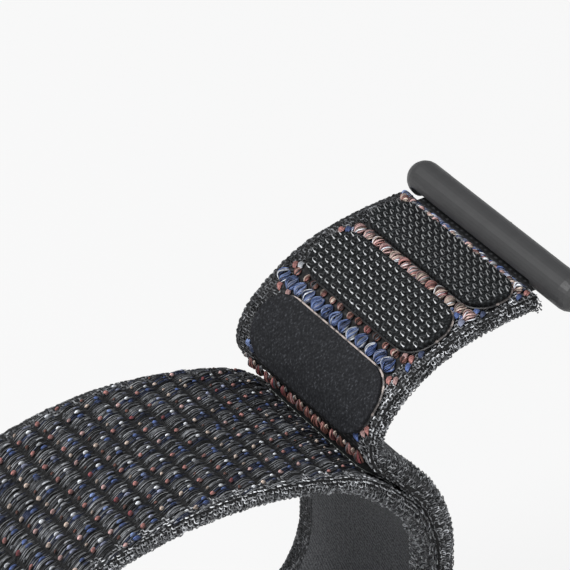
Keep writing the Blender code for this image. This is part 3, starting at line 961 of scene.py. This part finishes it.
# Outlines run from the underside round the edge to the top, as (inset, n)
def padPieces(tapeLooks, filmLooks):
    low = pad["bottom"]
    high = low + pad["thickness"]
    e = pad["edge"]
    rim = -pad["rim"]
    film = [(2.3, 0.13), (0.8, 0.13), (rim + 0.06, 0.26), (rim + 0.01, 0.3), (rim, 0.36), (rim + 0.03, 0.4)]
    film += [(0.1, 0.42), (0.9, 0.42)]
    for number in (1, 2, 3, 4):
        tape = [(2.4, low), (1.0, low), (e * 0.4, low), (0.0, low + e * 0.4), (0.0, high - e)]
        tape += [(e * 0.3, high - e * 0.3), (e, high), (e + 0.08, high)]
        inner = np.linspace(0.4, padLong[number - 1] / 2.0 - 0.05, pad["innerRings"])
        tape += [(inset, high - pad["sag"]) for inset in inner]
        padSurface(f"fine_hook_pad_{number}", number, tape, tapeLooks[number - 1], "hook_pad")
        padSurface(f"fine_weld_film_{number}", number, film, filmLooks[number - 1], "weld_film")


# A hook is a bent rod with its line in (across, off, along): it leans as it rises, turns over and comes down
hookLine = [(-0.18, -0.03, 0.03), (-0.12, 0.1, 0.01), (0.0, 0.2, 0.0), (0.12, 0.28, 0.02), (0.2, 0.32, 0.1)]
hookLine += [(0.2, 0.31, 0.2), (0.13, 0.26, 0.29), (0.02, 0.18, 0.33), (-0.08, 0.1, 0.33)]
hookTaper = [1.9, 1.5, 0.9, 0.85, 0.8, 0.7, 0.65, 0.65, 0.7]
# The hooks are black nylon drawn in painted highlight: each pad's tone, times a share for each point of the
# hook's line from its foot to its tip
hooks = {
    1: {
        "size": 1.0, "radius": 0.056, "tone": 0.28, "shift": 0.0,
        "paintedHighlight": [1.8, 1.5, 1.0, 0.9, 0.7, 0.6, 0.6, 0.9, 0.9],
    },
    2: {
        "size": 0.95, "radius": 0.05, "tone": 0.6, "shift": 0.0,
        "paintedHighlight": [2.4, 1.6, 0.9, 0.7, 0.4, 0.2, 0.14, 0.2, 0.3],
    },
    4: {
        "size": 1.0, "radius": 0.06, "tone": 0.6, "shift": 0.42,
        "paintedHighlight": [1.2, 1.2, 0.9, 0.8, 0.6, 0.6, 0.6, 0.6, 0.6],
    },
}
hookLay = {
    "along": 0.735,
    "across": 1.06,
    "slip": 0.04,
    "margin": 0.14,
    "lengthLess": 0.1,
    "widthLess": 0.2,
    "back": 0.2,
    "sizeNoise": 0.08,
    "sides": 5,
    "tint": (0.98, 1.0, 1.02, 1.0),
    "lightness": (0.75, 0.5),
    "onLip": (0.55, 1.2),
    "rough": 0.35,
}


# A pad's hooks as (s, y) from its middle: a grid that slips a little sideways and leaves the round corners
def hookPlaces(length):
    c = hookLay
    rows = int((length - c["lengthLess"]) / c["along"])
    columns = int((pad["width"] - c["widthLess"]) / c["across"])
    i, j = [a.ravel().astype(float) for a in np.meshgrid(np.arange(rows), np.arange(columns), indexing="ij")]
    s = (i - (rows - 1) / 2.0) * c["along"]
    y = (j - (columns - 1) / 2.0) * c["across"] - c["slip"] * (i - rows / 2.0)
    corner = pad["cornerShare"] * length
    overS = np.maximum(np.abs(s) - (length / 2.0 - corner), 0.0)
    overY = np.maximum(np.abs(y) - (pad["width"] / 2.0 - corner), 0.0)
    keep = np.hypot(overS, overY) < corner - c["margin"]
    return s[keep], y[keep]


# The hooks stand on the tape, each a little larger or smaller, and coloured in painted highlight.
# On the lip they stand taller as it rises.
def hookPieces(material):
    c = hookLay
    top = pad["bottom"] + pad["thickness"]
    least, more = c["lightness"]
    for number, h in hooks.items():
        rng = np.random.default_rng(number)
        length = padLong[number - 1]
        s, y = hookPlaces(length)
        s = s + padSeen[number - 1] + h["shift"]
        y = y + pad["shiftY"]
        line = np.array(hookLine) * h["size"]
        size = 1.0 + c["sizeNoise"] * rng.standard_normal((len(s), 1)).clip(-1.5, 1.5)
        lineY = y[:, None] + line[None, :, 0] * size
        lineN = top + line[None, :, 1] * size
        lineS = s[:, None] - c["back"] * c["along"] + line[None, :, 2] * size
        if number == 4:
            rise = padRise(4, (s[:, None] - padSeen[3]) / (length / 2.0))
            lineN = top + rise + (c["onLip"][0] + c["onLip"][1] * rise) * (lineN - top)
        radius = h["radius"] * np.array(hookTaper)[None, :]
        paintedHighlight = h["tone"] * np.array(h["paintedHighlight"])[None, :, None] * np.array(c["tint"])
        colour = paintedHighlight * (least + more * rng.random((len(s), 1, 1)))
        colour[..., 3] = 1.0
        shape = (stacked(lineS, lineY, lineN), radius, c["sides"])
        tubePiece(f"hooks_{number}", padBodies[number - 1], *shape, colour, material, "hook_pad")


# Where the strap bar and the latch's bore lie in a lug bar, off its middle
bar = {"pivot": -1.2, "bore": 0.55}

# The tongue at each end: a thin strip of weave that leaves the band and rolls round the strap bar
tongue = {
    "half": 9.4,
    "middle": 0.675,
    "thick": 0.45,
    "turn": 275.0,
    "overlap": 0.6,
    "gap": 0.12,
    "straightPoints": 12,
    "arcPoints": 30,
    "ovalPoints": 7,
    "stepAcross": 0.4,
    "depth": 0.2,
}


# A lug bar's middle in (x, z), the way that the band's end points, and the way off its outer face
def barFrame(number):
    at = -1 if number == 1 else 0
    heading = lineHeading[at] + (0.0 if number == 1 else math.pi)
    side = 1.0 if number == 1 else -1.0
    along = np.array([math.cos(heading), math.sin(heading)])
    outer = side * np.array([-math.sin(heading), math.cos(heading)])
    axis = np.array([lineX[at], lineZ[at]]) + along * band["barReach"] + outer * band["barRise"]
    return axis, along, outer


# The strip's line is straight, then an arc about the strap bar, and its section is a flat oval across it
def tonguePiece(number, material):
    t = tongue
    axis, along, outer = barFrame(number)
    angle = np.radians(np.linspace(-90.0, -90.0 + t["turn"], t["arcPoints"]))
    straight = np.linspace(-band["barReach"] - t["overlap"], -t["gap"], t["straightPoints"])
    u = np.concatenate([straight, t["middle"] * np.cos(angle)])
    w = np.concatenate([0.0 * straight - t["middle"], t["middle"] * np.sin(angle)]) + bar["pivot"]
    run = np.stack([np.gradient(u), np.gradient(w)], axis=1)
    run = run / np.linalg.norm(run, axis=1, keepdims=True)
    travelled = np.concatenate([[0.0], np.cumsum(np.hypot(np.diff(u), np.diff(w)))])
    bow = np.linspace(0.0, math.pi, t["ovalPoints"])[1:-1]
    half = t["thick"] / 2.0
    edge = t["half"] - half
    flat = np.linspace(-edge, edge, int(2.0 * t["half"] / t["stepAcross"]))
    y = np.concatenate([flat, edge + half * np.sin(bow), flat[::-1], -edge - half * np.sin(bow)])
    off = np.concatenate([half + 0.0 * flat, half * np.cos(bow), -half + 0.0 * flat, -half * np.cos(bow)])
    uu = u[:, None] - run[:, None, 1] * off[None, :]
    ww = w[:, None] + run[:, None, 0] * off[None, :]
    x = axis[0] + along[0] * uu + outer[0] * ww
    z = axis[1] + along[1] * uu + outer[1] * ww
    verts = stacked(x, band["centreY"] + y[None, :], z) * mm
    weave = stacked(travelled[:, None], y[None, :], off[None, :] - t["depth"])
    looks = {"weave": weave, "shade": 0.0 * weave}
    obj = meshOf(f"rolled_tongue_{number}", verts, gridFaces(len(u), len(y)), material, looks)
    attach(obj, "tail_top" if number == 1 else "band")


# The latch's spring, in the bore, drawn at one length. On the real latch it shortens from its free end as
# the pin is pressed.
spring = {
    "low": -1.0,
    "high": 0.32,
    "radius": 0.34,
    "wire": 0.06,
    "turns": 4.0,
    "points": 97,
    "sides": 8,
    "stroke": 0.5,
}


# A wire along a helix: its angle round the bore and its place along it grow evenly
def springPiece(number, material):
    c = spring
    axis, along, outer = barFrame(number)
    angle = np.linspace(0.0, 2.0 * math.pi * c["turns"], c["points"])
    u = np.linspace(c["low"], c["high"], c["points"])
    w = bar["bore"] + c["radius"] * np.sin(angle)
    x = axis[0] + along[0] * u + outer[0] * w
    z = axis[1] + along[1] * u + outer[1] * w
    verts = tubes(stacked(x, c["radius"] * np.cos(angle), z)[None], c["wire"], c["sides"]) * mm
    obj = meshOf(f"fine_latch_spring_{number}", verts, gridFaces(c["points"], c["sides"]), material)
    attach(obj, f"lug_{number}")
    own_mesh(obj)
    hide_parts(f"latch_spring_{number}")


# A new material with its node tree and its main shader
def nodesOf(name):
    made = bpy.data.materials.new(name)
    made.use_nodes = True
    return made, made.node_tree, made.node_tree.nodes["Principled BSDF"]


def node(tree, kind, **values):
    made = tree.nodes.new(kind)
    for key, value in values.items():
        if key in made.inputs:
            made.inputs[key].default_value = value
        else:
            setattr(made, key, value)
    return made


def attribute(tree, name, output="Vector"):
    made = tree.nodes.new("ShaderNodeAttribute")
    made.attribute_name = name
    return made.outputs[output]


# The X, Y and Z of a vector
def split(tree, vector):
    made = tree.nodes.new("ShaderNodeSeparateXYZ")
    tree.links.new(vector, made.inputs[0])
    return made.outputs


# A colour times a number
def shaded(tree, colour, share):
    made = node(tree, "ShaderNodeVectorMath", operation="SCALE")
    tree.links.new(colour, made.inputs[0])
    tree.links.new(share, made.inputs["Scale"])
    return made.outputs[0]


# A Math node whose inputs are sockets or plain numbers
def maths(tree, operation, *sources):
    made = node(tree, "ShaderNodeMath", operation=operation)
    for socket, source in zip(made.inputs, sources):
        if isinstance(source, (int, float)):
            socket.default_value = source
        else:
            tree.links.new(source, socket)
    return made.outputs[0]


def ramp(tree, source, stops):
    made = tree.nodes.new("ShaderNodeValToRGB")
    elements = made.color_ramp.elements
    while len(elements) < len(stops):
        elements.new(0.5)
    for element, (place, colour) in zip(elements, stops):
        element.position = place
        element.color = (*colour, 1.0)
    tree.links.new(source, made.inputs["Fac"])
    return made.outputs["Color"]


def bump(tree, shader, source, distance):
    made = node(tree, "ShaderNodeBump", Strength=1.0, Distance=distance)
    tree.links.new(source, made.inputs["Height"])
    tree.links.new(made.outputs["Normal"], shader.inputs["Normal"])


def noiseOf(tree, vector, scale, detail):
    made = node(tree, "ShaderNodeTexNoise", Scale=scale, Detail=detail)
    tree.links.new(vector, made.inputs["Vector"])
    return made.outputs["Fac"]


# The weave. Its stitches are the product of a wave along and a wave across, worn by noise, and they slant
# on the inner face. A noise is its (scale, detail).
weaveFinish = {
    "noise": (2.6, 3.0),
    "along": 0.56,
    "across": 0.8,
    "wander": 3.0,
    "outer": [(0.12, (0.011, 0.0115, 0.013)), (0.5, (0.085, 0.088, 0.094))],
    "speck": (5.5, 3.0),
    "slant": 0.55,
    "slantPitch": 0.5,
    "slantDepth": 0.07,
    "inner": [(0.36, (0.03, 0.031, 0.034)), (0.64, (0.11, 0.113, 0.12))],
    "paintedShadeDepth": 0.8,
    "rough": 0.85,
    "relief": 0.00012,
}


def clothMaterial():
    c = weaveFinish
    made, tree, shader = nodesOf("charcoal weave")
    at = attribute(tree, "weave")
    place = split(tree, at)
    noise = noiseOf(tree, at, *c["noise"])
    turnAlong = maths(tree, "MULTIPLY", place["X"], 2.0 * math.pi / c["along"])
    wander = maths(tree, "MULTIPLY", noise, c["wander"])
    turnAcross = maths(tree, "MULTIPLY_ADD", place["Y"], 2.0 * math.pi / c["across"], wander)
    waves = [maths(tree, "SINE", turn) for turn in (turnAlong, turnAcross)]
    stitches = [maths(tree, "MULTIPLY_ADD", wave, 0.5, 0.5) for wave in waves]
    worn = maths(tree, "MULTIPLY", maths(tree, "MULTIPLY", *stitches), noise)
    slant = maths(tree, "MULTIPLY_ADD", place["Y"], c["slant"], place["X"])
    slantWave = maths(tree, "SINE", maths(tree, "MULTIPLY", slant, 2.0 * math.pi / c["slantPitch"]))
    speck = maths(tree, "MULTIPLY_ADD", slantWave, c["slantDepth"], noiseOf(tree, at, *c["speck"]))
    side = maths(tree, "GREATER_THAN", place["Z"], -band["thickness"] / 2.0)
    mix = node(tree, "ShaderNodeMix", data_type="RGBA")
    tree.links.new(side, mix.inputs["Factor"])
    tree.links.new(ramp(tree, speck, c["inner"]), mix.inputs[6])
    tree.links.new(ramp(tree, worn, c["outer"]), mix.inputs[7])
    # Painted shade: the weave is darkened by its shade attribute, under the pile, along the edges and between
    # the pads
    under = split(tree, attribute(tree, "shade"))["X"]
    share = maths(tree, "MULTIPLY_ADD", under, -c["paintedShadeDepth"], 1.0)
    tree.links.new(shaded(tree, mix.outputs[2], share), shader.inputs["Base Color"])
    shader.inputs["Roughness"].default_value = c["rough"]
    bump(tree, shader, worn, c["relief"])
    return made


# Twisted yarn: a wave round and along the tube, wandering with noise. The yarns differ in roughness.
yarnFinish = {
    "rough": {"looped yarn": 0.65, "selvedge yarn": 0.38},
    "noise": (3.0, 2.0),
    "along": 9.0,
    "wander": 6.0,
    "depth": 0.28,
    "middle": 0.92,
    "relief": 0.00003,
}


def yarnMaterial(name):
    c = yarnFinish
    made, tree, shader = nodesOf(name)
    yarn = attribute(tree, "yarn")
    place = split(tree, yarn)
    wander = maths(tree, "MULTIPLY", noiseOf(tree, yarn, *c["noise"]), c["wander"])
    along = maths(tree, "MULTIPLY_ADD", place["X"], c["along"], wander)
    fine = maths(tree, "SINE", maths(tree, "MULTIPLY_ADD", place["Y"], 4.0 * math.pi, along))
    shade = maths(tree, "MULTIPLY_ADD", fine, c["depth"], c["middle"])
    tree.links.new(shaded(tree, attribute(tree, "tint", "Color"), shade), shader.inputs["Base Color"])
    shader.inputs["Roughness"].default_value = c["rough"][name]
    bump(tree, shader, fine, c["relief"])
    return made


# Hook tape: noise and a knit of two waves at the hooks' spacing, with a pale line on the lip. Each tape is
# (dark tone, light tone, share of the knit, share of the lip). The pads are all one hook tape: the copies
# differ in tone as painted light and shade, for how the light falls on each pad.
tapeFinish = {
    "tapes": {
        "dark hook tape": ((0.003, 0.0035, 0.004), (0.014, 0.0155, 0.0165), 0.16, 0.0),
        "hook tape with painted light": ((0.011, 0.0115, 0.0135), (0.022, 0.023, 0.026), 0.05, 0.0),
        "lipped hook tape": ((0.006, 0.0065, 0.007), (0.012, 0.0125, 0.013), 0.05, 0.9),
    },
    "noise": (5.0, 4.0),
    "places": (0.4, 0.6, 0.74),
    "speck": 3.0,
    "lip": (0.46, 0.5, 0.47, 1.0),
    "rough": 0.7,
    "sheen": 0.15,
    "relief": 0.00004,
}


def tapeMaterial(name):
    c = tapeFinish
    dark, light, knit, lip = c["tapes"][name]
    made, tree, shader = nodesOf(name)
    at = attribute(tree, "weave")
    place = split(tree, at)
    noise = noiseOf(tree, at, *c["noise"])
    along = maths(tree, "SINE", maths(tree, "MULTIPLY", place["X"], 2.0 * math.pi / hookLay["along"]))
    across = maths(tree, "SINE", maths(tree, "MULTIPLY", place["Y"], 4.0 * math.pi / hookLay["across"]))
    waves = maths(tree, "MULTIPLY", maths(tree, "MULTIPLY", along, across), knit)
    colours = (dark, light, tuple(c["speck"] * part for part in light))
    mix = node(tree, "ShaderNodeMix", data_type="RGBA")
    onLip = split(tree, attribute(tree, "lip"))["X"]
    tree.links.new(maths(tree, "MULTIPLY", onLip, lip), mix.inputs["Factor"])
    stops = list(zip(c["places"], colours))
    tree.links.new(ramp(tree, maths(tree, "ADD", noise, waves), stops), mix.inputs[6])
    mix.inputs[7].default_value = c["lip"]
    tree.links.new(mix.outputs[2], shader.inputs["Base Color"])
    shader.inputs["Roughness"].default_value = c["rough"]
    shader.inputs["Specular IOR Level"].default_value = c["sheen"]
    bump(tree, shader, noise, c["relief"])
    return made


def hookMaterial():
    made, tree, shader = nodesOf("hook nylon")
    tree.links.new(attribute(tree, "tint", "Color"), shader.inputs["Base Color"])
    shader.inputs["Roughness"].default_value = hookLay["rough"]
    return made


# Weld film: patchy, and lighter towards the bar
filmFinish = {
    "noise": (1.1, 3.0),
    "along": 0.055,
    "stops": [(0.45, (0.02, 0.02, 0.021)), (0.58, (0.14, 0.125, 0.12)), (0.68, (0.55, 0.47, 0.43))],
    "rough": 0.45,
}


def filmMaterial():
    c = filmFinish
    made, tree, shader = nodesOf("weld film")
    at = attribute(tree, "weave")
    lit = maths(tree, "MULTIPLY_ADD", split(tree, at)["X"], c["along"], noiseOf(tree, at, *c["noise"]))
    tree.links.new(ramp(tree, lit, c["stops"]), shader.inputs["Base Color"])
    shader.inputs["Roughness"].default_value = c["rough"]
    return made


# Metal: fine noise between a slightly darker and a slightly lighter tone. Each metal is (colour,
# roughness, share of metal).
metalFinish = {
    "metals": {
        "dark coated metal": ((0.042, 0.042, 0.043), 0.45, 0.0),
        "plain steel": ((0.45, 0.45, 0.46), 0.3, 1.0),
    },
    "noise": (900.0, 3.0),
    "darker": (0.3, 0.93),
    "lighter": (0.7, 1.06),
    "relief": 0.000003,
}


def metalMaterial(name):
    c = metalFinish
    colour, rough, metal = c["metals"][name]
    made, tree, shader = nodesOf(name)
    where = node(tree, "ShaderNodeTexCoord")
    noise = noiseOf(tree, where.outputs["Object"], *c["noise"])
    stops = [(place, tuple(share * part for part in colour)) for place, share in (c["darker"], c["lighter"])]
    tree.links.new(ramp(tree, noise, stops), shader.inputs["Base Color"])
    shader.inputs["Roughness"].default_value = rough
    shader.inputs["Metallic"].default_value = metal
    bump(tree, shader, noise, c["relief"])
    return made


clothLook = clothMaterial()
yarnLook, selvedgeLook = [yarnMaterial(name) for name in yarnFinish["rough"]]
darkTape, paintedLightTape, lippedTape = [tapeMaterial(name) for name in tapeFinish["tapes"]]
filmLook = filmMaterial()
hookLook = hookMaterial()
coatedLook, steelLook = [metalMaterial(name) for name in metalFinish["metals"]]
print("materials made")

# The weave of four stretches stands for the four solids of the band
standsFor = {"loop": "band_loop", "fold": "tail_panel_low", "low": "tail_panel_mid", "end": "tail_panel_top"}
for zoneName in zones:
    clothPiece(zoneName, clothLook)
    for edgeName in ("near", "far"):
        selvedgePiece(zoneName, edgeName, selvedgeLook)
for zoneName, nodeName in standsFor.items():
    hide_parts(nodeName)
for number in (1, 2):
    tonguePiece(number, clothLook)
print("woven band made")
pilePieces(yarnLook)
yarnRowPieces(yarnLook)
yarnKnotPieces(yarnLook)
print("yarn loops made")
# Pad 3's tape is a copy with painted light, and pad 4's film is drawn in the dark tape as painted shadow
padPieces([darkTape, darkTape, paintedLightTape, lippedTape], [filmLook, filmLook, filmLook, darkTape])
hookPieces(hookLook)
for number in (1, 2):
    springPiece(number, steelLook)
print("pads and springs made")

for name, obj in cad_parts.items():
    if name.startswith(("lug_bar", "latch_pin")):
        look = coatedLook
    elif name.startswith(("strap_bar", "latch_collar")):
        look = steelLook
    else:
        continue
    for materialSlot in obj.material_slots:
        materialSlot.material = look

# Light: a soft sky, area lamps of (name, place, size, power), and a pale floor, in metres. The camera sees
# the floor mostly as floorSeen.
light = {
    "sky": 0.3,
    "skyColour": (0.95, 0.97, 1.0, 1.0),
    "lamps": [
        ("key", (-0.35, 0.1, 0.7), 0.35, 5.0),
        ("fill", (-0.5, -0.7, 0.45), 0.6, 2.2),
        ("side", (0.6, -0.35, 0.35), 0.5, 1.2),
    ],
    "aim": (0.0, 0.0, 0.035),
    "floorHalf": 3.0,
    "floorZ": -0.0002,
    "floorTone": (0.8, 0.8, 0.8, 1.0),
    "floorSeen": (0.95, 0.95, 0.95, 1.0),
    "floorShare": 0.9,
}


def studioFloor():
    half = light["floorHalf"]
    corners = [(x * half, y * half, light["floorZ"]) for x, y in ((-1, -1), (1, -1), (1, 1), (-1, 1))]
    mesh = bpy.data.meshes.new("studio_floor")
    mesh.from_pydata(corners, [], [(0, 1, 2, 3)])
    floor = bpy.data.objects.new("studio_floor", mesh)
    bpy.context.scene.collection.objects.link(floor)
    made, tree, shader = nodesOf("pale floor")
    shader.inputs["Base Color"].default_value = light["floorTone"]
    shader.inputs["Roughness"].default_value = 1.0
    path = node(tree, "ShaderNodeLightPath")
    glow = node(tree, "ShaderNodeEmission", Strength=1.0)
    glow.inputs["Color"].default_value = light["floorSeen"]
    seen = maths(tree, "MAXIMUM", path.outputs["Is Camera Ray"], path.outputs["Is Glossy Ray"])
    mix = node(tree, "ShaderNodeMixShader")
    tree.links.new(maths(tree, "MULTIPLY", seen, light["floorShare"]), mix.inputs[0])
    tree.links.new(shader.outputs[0], mix.inputs[1])
    tree.links.new(glow.outputs[0], mix.inputs[2])
    tree.links.new(mix.outputs[0], tree.nodes["Material Output"].inputs["Surface"])
    mesh.materials.append(made)


def studioLight():
    world = bpy.data.worlds.new("soft sky")
    bpy.context.scene.world = world
    world.use_nodes = True
    world.node_tree.nodes["Background"].inputs["Color"].default_value = light["skyColour"]
    world.node_tree.nodes["Background"].inputs["Strength"].default_value = light["sky"]
    for name, place, size, power in light["lamps"]:
        lamp = bpy.data.lights.new(name, "AREA")
        lamp.energy = power
        lamp.size = size
        holder = bpy.data.objects.new(name, lamp)
        holder.location = place
        holder.rotation_euler = (Vector(light["aim"]) - Vector(place)).to_track_quat("-Z", "Y").to_euler()
        bpy.context.scene.collection.objects.link(holder)
    bpy.context.scene.view_settings.view_transform = "Standard"


# The photograph's view: the camera's place in metres, its turn and tilt in degrees, its lens in millimetres
view = {
    "place": (-0.170617, -0.26439, 0.27699),
    "azimuth": -34.0,
    "elevation": 35.0,
    "lens": 261.62,
    "sensor": 36.0,
    "clip": (0.01, 20.0),
}


def photoCamera():
    a = math.radians(view["azimuth"])
    e = math.radians(view["elevation"])
    back = Vector((math.sin(a) * math.cos(e), -math.cos(a) * math.cos(e), math.sin(e)))
    right = Vector((math.cos(a), math.sin(a), 0.0))
    lens = bpy.data.cameras.new("photo camera")
    lens.lens = view["lens"]
    lens.sensor_width = view["sensor"]
    lens.clip_start, lens.clip_end = view["clip"]
    holder = bpy.data.objects.new("photo camera", lens)
    turn = Matrix((right, back.cross(right), back)).transposed()
    holder.matrix_world = Matrix.Translation(view["place"]) @ turn.to_4x4()
    bpy.context.scene.collection.objects.link(holder)
    bpy.context.scene.camera = holder


studioFloor()
studioLight()
photoCamera()
print("studio made")
